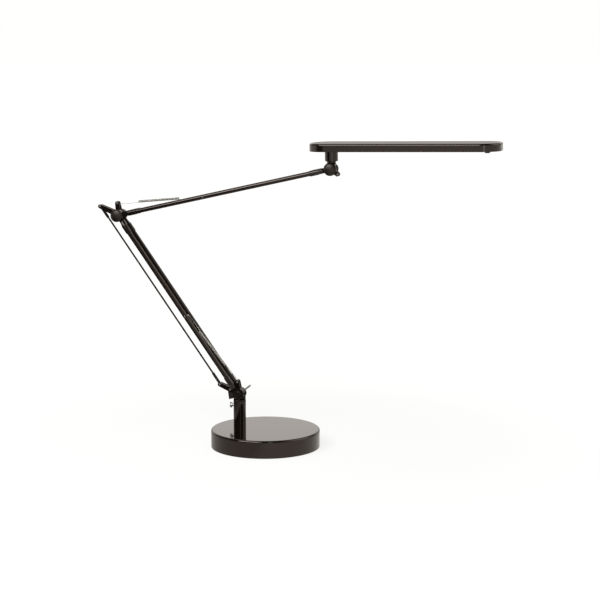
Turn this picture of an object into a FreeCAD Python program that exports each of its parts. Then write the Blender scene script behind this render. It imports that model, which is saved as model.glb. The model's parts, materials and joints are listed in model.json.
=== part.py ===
import FreeCAD
import Part
import math
import os
from types import SimpleNamespace

import Sketcher
from FreeCAD import Placement, Rotation, Vector

# LED desk lamp on two sprung parallelogram arms.
# Millimetres and degrees. +Z is up, the arms lie in an XZ plane with the head towards +X,
# and the origin is under the middle of the base.

DIMENSIONS = {
    # Base
    "base_diameter": 190,
    "base_height": 31,
    "cover_wall": 1.6,
    "cover_edge_radius": 3.5,
    "cover_lift": 0.6,
    "pad_thickness": 2,
    "weight_headroom": 13.4,
    "base_fit": 0.6,
    "weight_screw_inset": 37,
    "weight_screw_count": 3,
    "weight_screw_diameter": 4,
    "weight_screw_grip": 9,
    "weight_screw_head_diameter": 8,
    "weight_screw_head_height": 2.4,
    "boss_diameter": 9,
    "inlet_bearing": 117,
    "inlet_barrel_diameter": 11,
    "inlet_barrel_length": 13,
    "inlet_flange_diameter": 14,
    "inlet_flange_thickness": 2,
    "inlet_bore": 5.5,
    "inlet_depth": 9,
    "inlet_pin_diameter": 2,
    "inlet_pin_length": 7.5,
    # Clearances
    "running_clearance": 0.05,
    "joint_gap": 0.3,
    "hole_clearance": 0.2,
    # Post and swivel
    "post_inset": 22.8,
    "post_bearing": 146.9,
    "post_diameter": 22,
    "post_wall": 1.5,
    "post_height": 37.5,
    "post_floor": 9,
    "nipple_diameter": 10,
    "nipple_bore": 7,
    "nipple_tail": 2.4,
    "nipple_rise": 8.5,
    "post_nut_width": 16,
    "post_nut_height": 5,
    "bush_length": 26,
    "bush_flange": 1.2,
    "spigot_diameter": 12,
    "spigot_length": 25,
    "spigot_groove_depth": 1,
    "spigot_groove_width": 7,
    "swivel_flange": 1.2,
    "swivel_lug_radius": 10.4,
    "pivot_rise": 12,
    # Wing screw on the post
    "post_screw_height": 29,
    "post_screw_diameter": 4,
    "post_screw_hub_diameter": 5.6,
    "post_screw_hub_start": 13,
    "post_screw_hub_length": 5,
    "post_screw_wing_span": 10.4,
    "post_screw_wing_width": 4,
    "post_screw_wing_thickness": 2,
    # Bracket plates with a link ear (lever) and a spring ear (tab)
    "plate_thickness": 2,
    "plate_gap": 5.2,
    "plate_radius": 9.5,
    "lever_x": -36,
    "lever_z": 14.5,
    "tab_x": -3.2,
    "tab_z": 21,
    "ear_radius": 3.6,
    "ear_root_radius": 5,
    "ear_pin_diameter": 3,
    # Arm stop under the lower lever
    "stop_far": 20.5,
    "stop_near": 10.8,
    "stop_drop": 11,
    "stop_skew": 2,
    "stop_rivet_reach": 18,
    "stop_rivet_diameter": 4,
    # Arms
    "lower_arm_length": 383,
    "lower_arm_angle": 125.7,
    "upper_arm_length": 402,
    "upper_arm_angle": 13.1,
    "tube_diameter": 8.2,
    "tube_wall": 1,
    "tube_spacing": 20,
    "tube_insert": 16,
    "socket_diameter": 10.2,
    "socket_tip_diameter": 6,
    "socket_start": 13,
    "socket_cone": 9,
    "socket_length": 24,
    "socket_chamfer": 0.5,
    "lug_radius": 10.2,
    "lug_thickness": 3.4,
    "lug_neck_width": 9,
    "pivot_bolt_diameter": 6,
    "bolt_head_diameter": 12,
    "bolt_head_height": 4,
    "bolt_head_chamfer": 1,
    "bolt_grip": 6,
    "cross_pin_reach": 166,
    "cross_pin_diameter": 3,
    "cross_pin_stand": 0.8,
    # Springs
    "spring_wire": 1,
    "spring_coil_radius": 2.2,
    "spring_pitch": 1.6,
    "spring_turns": 48,
    "spring_bend_radius": 1.2,
    "spring_hook_angle": 250,
    "lower_spring_lead": 36,
    "upper_spring_lead": 40,
    # Link rod
    "rod_diameter": 3.2,
    "rod_eye_radius": 3.5,
    "rod_sleeve_diameter": 5,
    "rod_sleeve_length": 24,
    "rod_sleeve_floor": 8,
    "rod_open_clearance": 0.3,
    # Clamping knobs and the rear wing nut
    "knob_diameter": 22.6,
    "knob_thickness": 8.5,
    "knob_dome": 5,
    "knob_bore_spare": 0.5,
    "spacer_diameter": 14,
    "wing_nut_hub_diameter": 14,
    "wing_nut_neck_diameter": 10,
    "wing_nut_hub_length": 10.4,
    "wing_nut_angle": 40,
    "wing_thickness": 3,
    "wing_root_reach": 4.5,
    "wing_root_rise": 8.9,
    "wing_root_radius": 3,
    "wing_tip_reach": 12.5,
    "wing_tip_rise": 15.4,
    "wing_tip_radius": 4,
    "lower_bolt_tail": 1.5,
    # Neck
    "tilt_ear_x": 10.5,
    "tilt_ear_z": -9.2,
    "neck_diameter": 15,
    "neck_start": 10.8,
    "neck_end": 13,
    "neck_tongue_radius": 8.5,
    "spindle_diameter": 8,
    "collar_diameter": 22.6,
    "collar_spigot_diameter": 14,
    "collar_edge_radius": 1,
    "neck_nut_width": 19,
    "neck_nut_height": 4,
    "neck_clip_diameter": 13,
    "neck_clip_thickness": 1.2,
    "neck_clip_groove": 0.8,
    "spindle_tail": 0.8,
    # Head
    "head_tilt": 1.19,
    "head_rise": 31,
    "head_length": 330,
    "head_depth": 75,
    "head_thickness": 14,
    "head_end_flat": 11,
    "head_edge_radius": 3.5,
    "head_wall": 1.8,
    "head_overhang": 36,
    "tray_recess": 0.4,
    "tray_thickness": 2.5,
    "tray_fit": 0.15,
    "window_start": 42,
    "window_end_inset": 47,
    "window_side_inset": 14.5,
    "window_corner_radius": 5,
    "diffuser_ledge": 4,
    "diffuser_thickness": 2,
    "board_end_margin": 4.5,
    "board_side_margin": 8,
    "board_thickness": 1.6,
    "led_width": 3,
    "led_height": 0.9,
    "led_row_spacing": 16,
    "led_count": 16,
    "led_end_margin": 6,
    "head_screw_inset_x": 22,
    "head_screw_inset_y": 14,
    "head_screw_diameter": 2.6,
    "head_screw_head_diameter": 5,
    "head_screw_head_height": 1.2,
    "head_screw_grip": 5,
    "head_boss_diameter": 6.5,
    # Push button
    "button_end_inset": 25,
    "button_diameter": 9,
    "button_stand": 4,
    "button_flange_diameter": 11,
    "button_flange_thickness": 1,
    "button_edge_radius": 0.8,
    "button_room": 3,
    "switch_width": 16,
    "switch_height": 8,
    "switch_cavity_diameter": 12.4,
}

Y_AXIS = Vector(0, 1, 0)
Z_AXIS = Vector(0, 0, 1)
FRONT = -1
BACK = 1
NEAR = 0.01


class Size:
    """A number together with the spreadsheet expression that gives it."""

    def __init__(self, text, value):
        self.text = text
        self.value = value

    def __add__(self, other):
        other = size(other)
        return Size(f"({self.text} + {other.text})", self.value + other.value)

    def __sub__(self, other):
        other = size(other)
        return Size(f"({self.text} - {other.text})", self.value - other.value)

    def __mul__(self, other):
        other = size(other)
        return Size(f"({self.text} * {other.text})", self.value * other.value)

    def __truediv__(self, other):
        other = size(other)
        return Size(f"({self.text} / {other.text})", self.value / other.value)

    def __neg__(self):
        return self * -1

    def __radd__(self, other):
        return size(other) + self

    def __rsub__(self, other):
        return size(other) - self

    __rmul__ = __mul__


def size(item):
    """Wraps a plain number, so that it can stand beside named sizes."""
    return item if isinstance(item, Size) else Size(f"({item})", item)


def cos(angle):
    return Size(f"cos({angle.text})", math.cos(math.radians(angle.value)))


def sin(angle):
    return Size(f"sin({angle.text})", math.sin(math.radians(angle.value)))


# Document, sheet and named sizes
doc = FreeCAD.newDocument("desk_lamp")
sheet = doc.addObject("Spreadsheet::Sheet", "Dims")
for row, (name, number) in enumerate(DIMENSIONS.items(), start=1):
    sheet.set(f"A{row}", name)
    sheet.set(f"B{row}", str(number))
    sheet.setAlias(f"B{row}", name)
doc.recompute()
d = SimpleNamespace(**{name: Size(f"Dims.{name}", float(sheet.get(name))) for name in DIMENSIONS})
pieces = []


# Sketch helpers

def new_body(label):
    body = doc.addObject("PartDesign::Body", label)
    body.Label = label
    pieces.append(body)
    return body


def new_sketch(body, role, offset=0):
    plane = next(feature for feature in body.Origin.OriginFeatures if feature.Role == role)
    sketch = body.newObject("Sketcher::SketchObject", "Sketch")
    sketch.AttachmentSupport = [(plane, "")]
    sketch.MapMode = "FlatFace"
    sketch.setExpression("AttachmentOffset.Base.z", size(offset).text)
    return sketch


def bind(sketch, amount, kind, *places):
    index = sketch.addConstraint(Sketcher.Constraint(kind, *places, size(amount).value))
    sketch.setExpression(f"Constraints[{index}]", size(amount).text)


def bind_point(sketch, geometry, point, x, y):
    bind(sketch, x, "DistanceX", -1, 1, geometry, point)
    bind(sketch, y, "DistanceY", -1, 1, geometry, point)


def circle(sketch, x, y, radius):
    centre = Vector(size(x).value, size(y).value)
    index = sketch.addGeometry(Part.Circle(centre, Z_AXIS, radius.value))
    bind_point(sketch, index, 3, x, y)
    bind(sketch, radius, "Radius", index)


def polygon(sketch, points):
    corners = [Vector(size(x).value, size(y).value) for x, y in points]
    edges = [
        sketch.addGeometry(Part.LineSegment(corner, corners[(i + 1) % len(corners)]))
        for i, corner in enumerate(corners)
    ]
    for i, edge in enumerate(edges):
        sketch.addConstraint(Sketcher.Constraint("Coincident", edge, 2, edges[(i + 1) % len(edges)], 1))
        bind_point(sketch, edge, 1, *points[i])


def box(sketch, x0, y0, x1, y1):
    polygon(sketch, [(x0, y0), (x1, y0), (x1, y1), (x0, y1)])


def hull(sketch, discs):
    """Outline of arcs (x, y, radius, start, end) joined in order by straight tangent lines."""
    arcs = []
    lines = []
    shapes = []
    for x, y, radius, start, end in discs:
        round_edge = Part.Circle(Vector(size(x).value, size(y).value), Z_AXIS, radius.value)
        shapes.append(Part.ArcOfCircle(round_edge, math.radians(start), math.radians(end)))
        arcs.append(sketch.addGeometry(shapes[-1]))
    for i, shape in enumerate(shapes):
        following = shapes[(i + 1) % len(shapes)]
        lines.append(sketch.addGeometry(Part.LineSegment(shape.EndPoint, following.StartPoint)))
    for i, line in enumerate(lines):
        sketch.addConstraint(Sketcher.Constraint("Tangent", arcs[i], 2, line, 1))
        sketch.addConstraint(Sketcher.Constraint("Tangent", line, 2, arcs[(i + 1) % len(arcs)], 1))
        bind_point(sketch, arcs[i], 3, *discs[i][:2])
        bind(sketch, discs[i][2], "Radius", arcs[i])


def rounded_box(sketch, x0, y0, x1, y1, radius):
    hull(
        sketch,
        [
            (x1 - radius, y1 - radius, radius, 0, 90),
            (x0 + radius, y1 - radius, radius, 90, 180),
            (x0 + radius, y0 + radius, radius, 180, 270),
            (x1 - radius, y0 + radius, radius, 270, 360),
        ],
    )


def capsule(sketch, x0, y0, radius0, x1, y1, radius1):
    """Two discs of unlike radius and their outer tangents."""
    run = size(x1).value - size(x0).value
    rise = size(y1).value - size(y0).value
    heading = math.degrees(math.atan2(rise, run))
    spread = math.degrees(math.acos((radius0.value - radius1.value) / math.hypot(run, rise)))
    hull(
        sketch,
        [
            (x1, y1, radius1, heading - spread, heading + spread),
            (x0, y0, radius0, heading + spread, heading - spread + 360),
        ],
    )


def hexagon(sketch, width):
    half = width / 2
    corner = width / math.sqrt(3)
    right = [(corner / 2, -half), (corner, 0), (corner / 2, half)]
    left = [(-corner / 2, half), (-corner, 0), (-corner / 2, -half)]
    polygon(sketch, right + left)


# Feature helpers

def pad(body, sketch, length):
    feature = body.newObject("PartDesign::Pad", "Pad")
    feature.Profile = sketch
    feature.setExpression("Length", size(length).text)
    doc.recompute()
    return feature


def pocket(body, sketch, depth=None):
    """Cuts along the sketch's normal by depth, or both ways through everything."""
    before = body.Shape.Volume
    feature = body.newObject("PartDesign::Pocket", "Pocket")
    feature.Profile = sketch
    if depth is None:
        feature.Type = "ThroughAll"
        feature.SideType = "Symmetric"
    else:
        feature.Reversed = True
        feature.setExpression("Length", size(depth).text)
    doc.recompute()
    if body.Shape.Volume >= before:
        raise RuntimeError(f"a pocket in {body.Label} cuts nothing")


def turn(body, profile, axis="Z", offset=0):
    """Revolves corners given as (radius, distance along the axis)."""
    sketch = new_sketch(body, "XZ_Plane" if axis == "Z" else "XY_Plane", offset)
    polygon(sketch, [(along, radius) for radius, along in profile] if axis == "X" else profile)
    feature = body.newObject("PartDesign::Revolution", "Revolution")
    feature.Profile = sketch
    feature.ReferenceAxis = (sketch, ["H_Axis" if axis == "X" else "V_Axis"])
    feature.Angle = 360
    doc.recompute()


def turned(label, profile, axis="Z"):
    body = new_body(label)
    turn(body, profile, axis)
    return body


def fillet(body, radius, axis, level, longer_than=0):
    """Rounds the edges that lie flat at one level of an axis."""
    base = body.Tip
    names = []
    for i, edge in enumerate(base.Shape.Edges, start=1):
        low = getattr(edge.BoundBox, f"{axis}Min") - level.value
        high = getattr(edge.BoundBox, f"{axis}Max") - level.value
        if max(abs(low), abs(high)) < NEAR and edge.Length > longer_than:
            names.append(f"Edge{i}")
    feature = body.newObject("PartDesign::Fillet", "Fillet")
    feature.Base = (base, names)
    feature.setExpression("Radius", size(radius).text)
    doc.recompute()


def round_hole(body, role, x, y, radius, offset=0, depth=None):
    sketch = new_sketch(body, role, offset)
    circle(sketch, x, y, radius)
    pocket(body, sketch, depth)


def place(piece, x=0, y=0, z=0, angle=0, axis=Y_AXIS):
    piece.Placement = Placement(Vector(), Rotation(axis, 1))
    piece.setExpression("Placement.Base.x", size(x).text)
    piece.setExpression("Placement.Base.y", size(y).text)
    piece.setExpression("Placement.Base.z", size(z).text)
    piece.setExpression("Placement.Rotation.Angle", size(angle).text)


def rod(name, radius, length):
    cylinder = doc.addObject("Part::Cylinder", name)
    cylinder.setExpression("Radius", radius.text)
    cylinder.setExpression("Height", length.text)
    return cylinder


def group(label, members):
    compound = doc.addObject("Part::Compound", label)
    compound.Label = label
    compound.Links = members
    pieces.append(compound)
    return compound


# Places shared by several pieces
base_radius = d.base_diameter / 2
cover_inside = base_radius - d.cover_wall
cover_ceiling = d.base_height - d.cover_wall
weight_top = cover_ceiling - d.weight_headroom
post_offset = base_radius - d.post_inset
post_x = post_offset * cos(d.post_bearing)
post_y = post_offset * sin(d.post_bearing)
post_radius = d.post_diameter / 2
post_top = d.base_height + d.post_height
swivel_seat = post_top + d.bush_flange
pivot_z = swivel_seat + d.pivot_rise
elbow_x = post_x + d.lower_arm_length * cos(d.lower_arm_angle)
elbow_z = pivot_z + d.lower_arm_length * sin(d.lower_arm_angle)
tip_x = elbow_x + d.upper_arm_length * cos(d.upper_arm_angle)
tip_z = elbow_z + d.upper_arm_length * sin(d.upper_arm_angle)
lower_turn = 90 - d.lower_arm_angle
upper_turn = 90 - d.upper_arm_angle
head_turn = -d.head_tilt

# Sideways stack at the pivots, measured from the arms' middle plane
plate_inner = d.plate_gap / 2
plate_outer = plate_inner + d.plate_thickness
inner_lug = plate_outer + d.joint_gap
inner_lug_outer = inner_lug + d.lug_thickness
outer_lug = inner_lug_outer + d.joint_gap
outer_lug_outer = outer_lug + d.lug_thickness
tube_side = d.tube_spacing / 2
bolt_radius = d.pivot_bolt_diameter / 2
bolt_hole = bolt_radius + d.running_clearance
ear_pin_radius = d.ear_pin_diameter / 2
ear_pin_hole = ear_pin_radius + d.running_clearance


def side_offset(side, inner, thickness):
    """Sketch offset on the XZ plane, whose normal is -Y, for a slab on one side of the middle plane."""
    return inner if side == FRONT else -(inner + thickness)


def side_name(side):
    return "front" if side == FRONT else "back"


# Base: cover, weight, pad and their screws, in a frame turned so that the inlet is on +X

def base_screw_places():
    count = int(d.weight_screw_count.value)
    reach = base_radius - d.weight_screw_inset
    first = d.post_bearing - d.inlet_bearing + 180 / count
    for i in range(count):
        bearing = first + i * 360 / count
        yield reach * cos(bearing), reach * sin(bearing)


def place_in_base(piece):
    place(piece, angle=d.inlet_bearing, axis=Z_AXIS)


def make_base_cover():
    cover = turned(
        "base_cover",
        [
            (0, cover_ceiling),
            (cover_inside, cover_ceiling),
            (cover_inside, d.cover_lift),
            (base_radius, d.cover_lift),
            (base_radius, d.base_height),
            (0, d.base_height),
        ],
    )
    fillet(cover, d.cover_edge_radius, "Z", d.base_height)
    bosses = new_sketch(cover, "XY_Plane", weight_top)
    holes = new_sketch(cover, "XY_Plane", weight_top)
    for x, y in base_screw_places():
        circle(bosses, x, y, d.boss_diameter / 2)
        circle(holes, x, y, d.weight_screw_diameter / 2 + d.running_clearance)
    pad(cover, bosses, cover_ceiling - weight_top)
    pocket(cover, holes, d.weight_screw_grip + d.hole_clearance)
    bearing = d.post_bearing - d.inlet_bearing
    nipple_hole = d.nipple_diameter / 2 + d.running_clearance
    below = cover_ceiling - d.cover_wall
    post_place = (post_offset * cos(bearing), post_offset * sin(bearing))
    round_hole(cover, "XY_Plane", *post_place, nipple_hole, below, 3 * d.cover_wall)
    inlet_hole = d.inlet_barrel_diameter / 2 + d.running_clearance
    round_hole(cover, "YZ_Plane", 0, inlet_z, inlet_hole, cover_inside - d.cover_wall, 3 * d.cover_wall)
    place_in_base(cover)


def make_base_weight():
    edge = cover_inside - d.base_fit
    weight = turned(
        "base_weight", [(0, d.pad_thickness), (edge, d.pad_thickness), (edge, weight_top), (0, weight_top)]
    )
    holes = new_sketch(weight, "XY_Plane")
    recesses = new_sketch(weight, "XY_Plane", d.pad_thickness)
    for x, y in base_screw_places():
        circle(holes, x, y, d.weight_screw_diameter / 2 + d.hole_clearance)
        circle(recesses, x, y, d.weight_screw_head_diameter / 2 + d.hole_clearance)
    pocket(weight, holes)
    pocket(weight, recesses, d.weight_screw_head_height + d.hole_clearance)
    place_in_base(weight)


def make_base_pad():
    edge = cover_inside - d.base_fit
    turned("base_pad", [(0, 0), (edge, 0), (edge, d.pad_thickness), (0, d.pad_thickness)])


def make_weight_screws():
    head_top = d.pad_thickness + d.weight_screw_head_height + d.hole_clearance
    shank_length = weight_top + d.weight_screw_grip - head_top
    screws = []
    for x, y in base_screw_places():
        shank = rod("weight_screw_shank", d.weight_screw_diameter / 2, shank_length)
        head = rod("weight_screw_head", d.weight_screw_head_diameter / 2, d.weight_screw_head_height)
        place(shank, x, y, head_top)
        place(head, x, y, head_top - d.weight_screw_head_height)
        screw = doc.addObject("Part::Fuse", "weight_screw")
        screw.Base = head
        screw.Tool = shank
        screws.append(screw)
    place_in_base(group("weight_screws", screws))


def make_power_inlet():
    barrel = d.inlet_barrel_diameter / 2
    flange = d.inlet_flange_diameter / 2
    bore = d.inlet_bore / 2
    pin = d.inlet_pin_diameter / 2
    floor = d.inlet_flange_thickness - d.inlet_depth
    inlet = turned(
        "power_inlet",
        [
            (0, -d.inlet_barrel_length),
            (barrel, -d.inlet_barrel_length),
            (barrel, 0),
            (flange, 0),
            (flange, d.inlet_flange_thickness),
            (bore, d.inlet_flange_thickness),
            (bore, floor),
            (pin, floor),
            (pin, floor + d.inlet_pin_length),
            (0, floor + d.inlet_pin_length),
        ],
        "X",
    )
    x = base_radius * cos(d.inlet_bearing)
    y = base_radius * sin(d.inlet_bearing)
    place(inlet, x, y, inlet_z, d.inlet_bearing, Z_AXIS)


inlet_z = (weight_top + cover_ceiling) / 2


# Post, its fixing and the bush that the swivel turns in

def screw_side_hole(body, z, reach, wall):
    """Hole for the wing screw, through the wall on the -X side."""
    hole = d.post_screw_diameter / 2 + d.running_clearance
    round_hole(body, "YZ_Plane", 0, z, hole, -(reach + wall), 3 * wall)


def make_post_tube():
    bore = post_radius - d.post_wall
    nipple_hole = d.nipple_diameter / 2 + d.running_clearance
    tube = turned(
        "post_tube",
        [
            (nipple_hole, 0),
            (post_radius, 0),
            (post_radius, d.post_height),
            (bore, d.post_height),
            (bore, d.post_floor),
            (nipple_hole, d.post_floor),
        ],
    )
    screw_side_hole(tube, d.post_screw_height, post_radius, d.post_wall)
    place(tube, post_x, post_y, d.base_height)


def make_post_nipple():
    outer = d.nipple_diameter / 2
    inner = d.nipple_bore / 2
    low = -(d.cover_wall + d.post_nut_height + d.nipple_tail)
    nipple = turned(
        "post_nipple", [(inner, low), (outer, low), (outer, d.nipple_rise), (inner, d.nipple_rise)]
    )
    place(nipple, post_x, post_y, d.base_height)


def make_nut(label, width, height, hole, x, y, z, angle=0):
    nut = new_body(label)
    sketch = new_sketch(nut, "XY_Plane", z)
    hexagon(sketch, width)
    circle(sketch, 0, 0, hole)
    pad(nut, sketch, height)
    place(nut, x, y, 0, angle)
    return nut


def make_post_nut():
    hole = d.nipple_diameter / 2 + d.running_clearance
    z = cover_ceiling - d.post_nut_height
    make_nut("post_nut", d.post_nut_width, d.post_nut_height, hole, post_x, post_y, z)


def make_post_bush():
    outer = post_radius - d.post_wall - d.running_clearance
    inner = d.spigot_diameter / 2 + d.running_clearance
    bush = turned(
        "post_bush",
        [
            (inner, -d.bush_length),
            (outer, -d.bush_length),
            (outer, 0),
            (post_radius, 0),
            (post_radius, d.bush_flange),
            (inner, d.bush_flange),
        ],
    )
    screw_side_hole(bush, d.post_screw_height - d.post_height, outer, outer - inner)
    place(bush, post_x, post_y, post_top)


def make_post_wing_screw():
    shank = d.post_screw_diameter / 2
    hub = d.post_screw_hub_diameter / 2
    tip = d.spigot_diameter / 2 - d.spigot_groove_depth + d.hole_clearance
    hub_end = d.post_screw_hub_start + d.post_screw_hub_length
    screw = turned(
        "post_wing_screw",
        [
            (0, tip),
            (shank, tip),
            (shank, d.post_screw_hub_start),
            (hub, d.post_screw_hub_start),
            (hub, hub_end),
            (0, hub_end),
        ],
        "X",
    )
    wings = new_sketch(screw, "XZ_Plane", -d.post_screw_wing_thickness / 2)
    rounding = d.post_screw_wing_width / 2
    reach = d.post_screw_wing_span / 2 - rounding
    middle = hub_end - rounding
    capsule(wings, middle, -reach, rounding, middle, reach, rounding)
    pad(screw, wings, d.post_screw_wing_thickness)
    place(screw, post_x, post_y, d.base_height + d.post_screw_height, 180, Z_AXIS)


# Swivel head, lower bracket and arm stop

def make_swivel_head():
    spigot = d.spigot_diameter / 2
    groove = spigot - d.spigot_groove_depth
    groove_middle = d.base_height + d.post_screw_height - swivel_seat
    groove_low = groove_middle - d.spigot_groove_width / 2
    groove_high = groove_middle + d.spigot_groove_width / 2
    flange_low = d.joint_gap
    flange_top = flange_low + d.swivel_flange
    head = turned(
        "swivel_head",
        [
            (0, -d.spigot_length),
            (spigot, -d.spigot_length),
            (spigot, groove_low),
            (groove, groove_low),
            (groove, groove_high),
            (spigot, groove_high),
            (spigot, flange_low),
            (post_radius, flange_low),
            (post_radius, flange_top),
            (0, flange_top),
        ],
    )
    web = new_sketch(head, "XZ_Plane", -plate_inner)
    box(web, -d.swivel_lug_radius, flange_low, d.swivel_lug_radius, d.pivot_rise)
    pad(head, web, d.plate_gap)
    lug = new_sketch(head, "XZ_Plane", -plate_inner)
    circle(lug, 0, d.pivot_rise, d.swivel_lug_radius)
    pad(head, lug, d.plate_gap)
    round_hole(head, "XZ_Plane", 0, d.pivot_rise, bolt_hole)
    place(head, post_x, post_y, swivel_seat)


def make_plate(label, side, ears, holes, x, z, angle=0):
    """Bracket plate: a disc about the pivot, a tapered ear to each ear pin, and further holes."""
    plate = new_body(f"{label}_{side_name(side)}")
    offset = side_offset(side, plate_inner, d.plate_thickness)
    disc = new_sketch(plate, "XZ_Plane", offset)
    circle(disc, 0, 0, d.plate_radius)
    pad(plate, disc, d.plate_thickness)
    for ear_x, ear_z in ears:
        ear = new_sketch(plate, "XZ_Plane", offset)
        capsule(ear, 0, 0, d.ear_root_radius, ear_x, ear_z, d.ear_radius)
        pad(plate, ear, d.plate_thickness)
    drilled = new_sketch(plate, "XZ_Plane", offset)
    circle(drilled, 0, 0, bolt_hole)
    for ear_x, ear_z in ears:
        circle(drilled, ear_x, ear_z, ear_pin_hole)
    for hole_x, hole_z, hole_radius in holes:
        circle(drilled, hole_x, hole_z, hole_radius)
    pocket(plate, drilled, d.plate_thickness)
    place(plate, x, post_y, z, angle)


def make_ear_pins(label, x, z):
    pins = []
    for ear_x, ear_z in arm_ears:
        pin = rod("ear_pin", ear_pin_radius, 2 * plate_outer)
        place(pin, ear_x, plate_outer, ear_z, 90, Vector(1, 0, 0))
        pins.append(pin)
    place(group(label, pins), x, post_y, z)


def make_pivot_bolt(label, lug_face, shank_end, head_side, x, z, angle=0):
    """Bolt along Y with its head against one outer lug face and its shank ending on the other side."""
    head = d.bolt_head_diameter / 2
    edge = head - d.bolt_head_chamfer
    seat = lug_face + d.joint_gap
    top = seat + d.bolt_head_height
    corners = [
        (0, -shank_end),
        (bolt_radius, -shank_end),
        (bolt_radius, seat),
        (head, seat),
        (head, top - d.bolt_head_chamfer),
        (edge, top),
        (0, top),
    ]
    bolt = turned(label, [(radius, head_side * along) for radius, along in corners], "Y")
    place(bolt, x, post_y, z, angle)


def make_stop_block():
    """Moulded arm stop: a block below the lever and a tongue that the rivet holds between the plates."""
    block = new_body("stop_block")
    slope = d.lever_z / d.lever_x
    top_near = -d.stop_near * slope - d.ear_root_radius - d.joint_gap
    top_far = -d.stop_far * slope - d.ear_root_radius - d.joint_gap
    low = new_sketch(block, "XZ_Plane", -plate_outer)
    polygon(
        low,
        [
            (-d.stop_far, top_far),
            (d.stop_skew - d.stop_far, -d.stop_drop),
            (-d.stop_near, d.stop_skew - d.stop_drop),
            (-d.stop_near, top_near),
        ],
    )
    pad(block, low, 2 * plate_outer)
    tongue = new_sketch(block, "XZ_Plane", d.hole_clearance - plate_inner)
    middle = -(d.stop_near + d.stop_far) / 2
    capsule(tongue, middle, -d.ear_root_radius, d.ear_radius, stop_rivet_x, stop_rivet_z, d.ear_radius)
    pad(block, tongue, d.plate_gap - 2 * d.hole_clearance)
    round_hole(block, "XZ_Plane", stop_rivet_x, stop_rivet_z, stop_rivet_hole)
    place(block, post_x, post_y, pivot_z)


def make_stop_rivet():
    rivet = turned(
        "stop_rivet",
        [
            (0, -plate_outer),
            (d.stop_rivet_diameter / 2, -plate_outer),
            (d.stop_rivet_diameter / 2, plate_outer),
            (0, plate_outer),
        ],
        "Y",
    )
    place(rivet, post_x + stop_rivet_x, post_y, pivot_z + stop_rivet_z)


def make_lower_wing_nut():
    hub = d.wing_nut_hub_diameter / 2
    neck = d.wing_nut_neck_diameter / 2
    seat = inner_lug_outer + d.joint_gap
    top = seat + d.wing_nut_hub_length
    nut = turned("lower_wing_nut", [(0, seat), (hub, seat), (neck, top), (0, top)], "Y")
    for hand in (1, -1):
        wing = new_sketch(nut, "XY_Plane", -d.wing_thickness / 2)
        capsule(
            wing,
            hand * d.wing_root_reach,
            seat + d.wing_root_rise,
            d.wing_root_radius,
            hand * d.wing_tip_reach,
            seat + d.wing_tip_rise,
            d.wing_tip_radius,
        )
        pad(nut, wing, d.wing_thickness)
    round_hole(nut, "XZ_Plane", 0, 0, bolt_hole)
    place(nut, post_x, post_y, pivot_z, -d.wing_nut_angle)


arm_ears = [(d.lever_x, d.lever_z), (d.tab_x, d.tab_z)]
lever_length = Size(
    f"sqrt({d.lever_x.text} ^ 2 + {d.lever_z.text} ^ 2)", math.hypot(d.lever_x.value, d.lever_z.value)
)
stop_rivet_x = d.lever_x * d.stop_rivet_reach / lever_length
stop_rivet_z = d.lever_z * d.stop_rivet_reach / lever_length
stop_rivet_hole = d.stop_rivet_diameter / 2 + d.running_clearance


# Arms: tubes, end fittings and cross pins, each along its own +Z from a pivot

def make_tube(label, side, length, x, z, angle):
    outer = d.tube_diameter / 2
    inner = outer - d.tube_wall
    start = d.socket_start + d.socket_length - d.tube_insert
    tube = turned(
        f"{label}_{side_name(side)}",
        [(inner, start), (outer, start), (outer, length - start), (inner, length - start)],
    )
    round_hole(tube, "XZ_Plane", 0, d.cross_pin_reach, d.cross_pin_diameter / 2 + d.running_clearance)
    place(tube, x, post_y + side * tube_side, z, angle)


def make_fitting(label, side, lug_face, x, z, angle):
    """Arm end: a pivot lug and a socket for one tube."""
    fitting = new_body(f"{label}_{side_name(side)}")
    offset = side_offset(side, lug_face, d.lug_thickness)
    lug = new_sketch(fitting, "XZ_Plane", offset)
    circle(lug, 0, 0, d.lug_radius)
    pad(fitting, lug, d.lug_thickness)
    socket_end = d.socket_start + d.socket_length
    cone_end = d.socket_start + d.socket_cone
    neck = new_sketch(fitting, "XZ_Plane", offset)
    half_neck = d.lug_neck_width / 2
    box(neck, -half_neck, 0, half_neck, cone_end)
    pad(fitting, neck, d.lug_thickness)
    socket = d.socket_diameter / 2
    turn(
        fitting,
        [
            (0, d.socket_start),
            (d.socket_tip_diameter / 2, d.socket_start),
            (socket, cone_end),
            (socket, socket_end - d.socket_chamfer),
            (socket - d.socket_chamfer, socket_end),
            (0, socket_end),
        ],
        offset=-side * tube_side,
    )
    round_hole(fitting, "XZ_Plane", 0, 0, bolt_hole)
    bore = d.tube_diameter / 2 + d.running_clearance
    round_hole(fitting, "XY_Plane", 0, side * tube_side, bore, socket_end - d.tube_insert, d.tube_insert)
    place(fitting, x, post_y, z, angle)


def make_cross_pin(label, x, z):
    radius = d.cross_pin_diameter / 2
    end = tube_side + d.tube_diameter / 2 + d.cross_pin_stand
    pin = turned(label, [(0, -end), (radius, -end), (radius, end), (0, end)], "Y")
    place(pin, x, post_y, z)


# Springs: one wire each, hooked on an ear pin at one end and on a cross pin at the other

def biarc(p0, t0, p1, t1):
    """Two tangent arcs from p0 along t0 to p1 along t1, as edges."""
    chord = p1 - p0
    both = t0 + t1
    bend = 2 * (1 - t0.dot(t1))
    along = chord.dot(both)
    reach = (math.sqrt(along * along + bend * chord.dot(chord)) - along) / bend
    joint = (p0 + t0 * reach + p1 - t1 * reach) * 0.5
    return [arc_from(p0, t0, joint), arc_from(p1, t1 * -1, joint, True)]


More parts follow.
